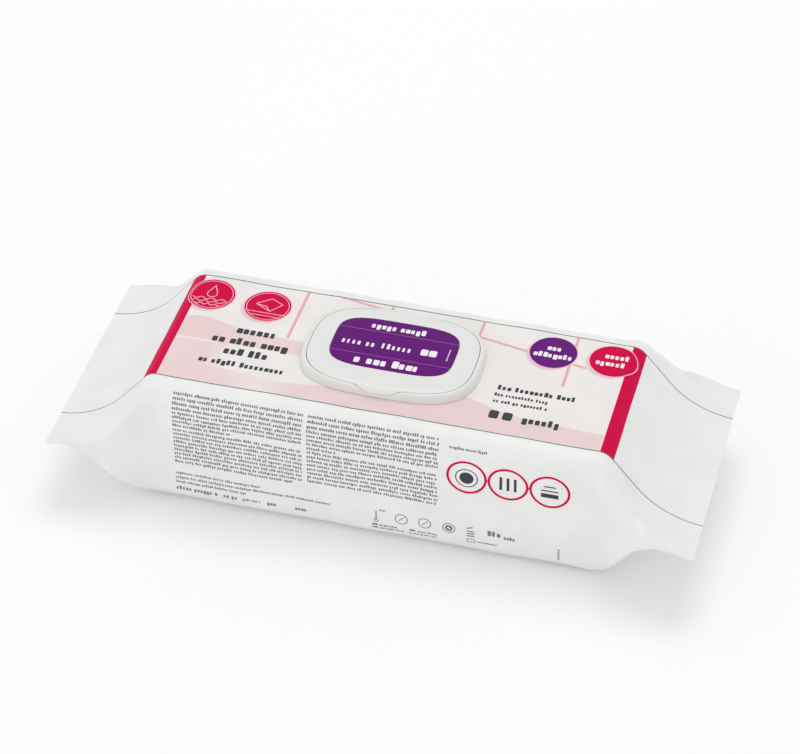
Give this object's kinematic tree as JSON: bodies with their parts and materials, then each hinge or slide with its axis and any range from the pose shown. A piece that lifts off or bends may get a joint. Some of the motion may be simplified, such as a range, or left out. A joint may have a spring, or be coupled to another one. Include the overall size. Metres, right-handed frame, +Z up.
{
  "type": "wet wipes pack",
  "caption": "Sealed film pouch of wet wipes lying flat, with fused end seals and a moulded flip-top dispensing lid with a film hinge and thumb tab.",
  "frame": {"origin": "middle of the underside, on the surface that the pack lies on", "axes": "+X along the pack from seal to seal, +Y towards the lid's hinge, +Z up through the lid"},
  "size_m": [0.386, 0.154, 0.0935],
  "materials": {
    "film": "satin white printed film",
    "lid_plastic": "satin white polypropylene",
    "label_print": "satin purple label",
    "seal_film": "satin silver-grey peel-off film"
  },
  "bodies": {
    "base": {"film_pouch": "film", "lid_frame": "lid_plastic", "peel_off_seal": "seal_film"},
    "cover": {"lid_cover": "lid_plastic", "cover_label": "label_print"}
  },
  "joints": [
    {"name": "lid_hinge", "type": "hinge", "parent": "base", "child": "cover", "pos_m": [-0.0022, 0.0356, 0.0928], "axis": [-1, 0, 0], "range_deg": [0, 135]}
  ]
}
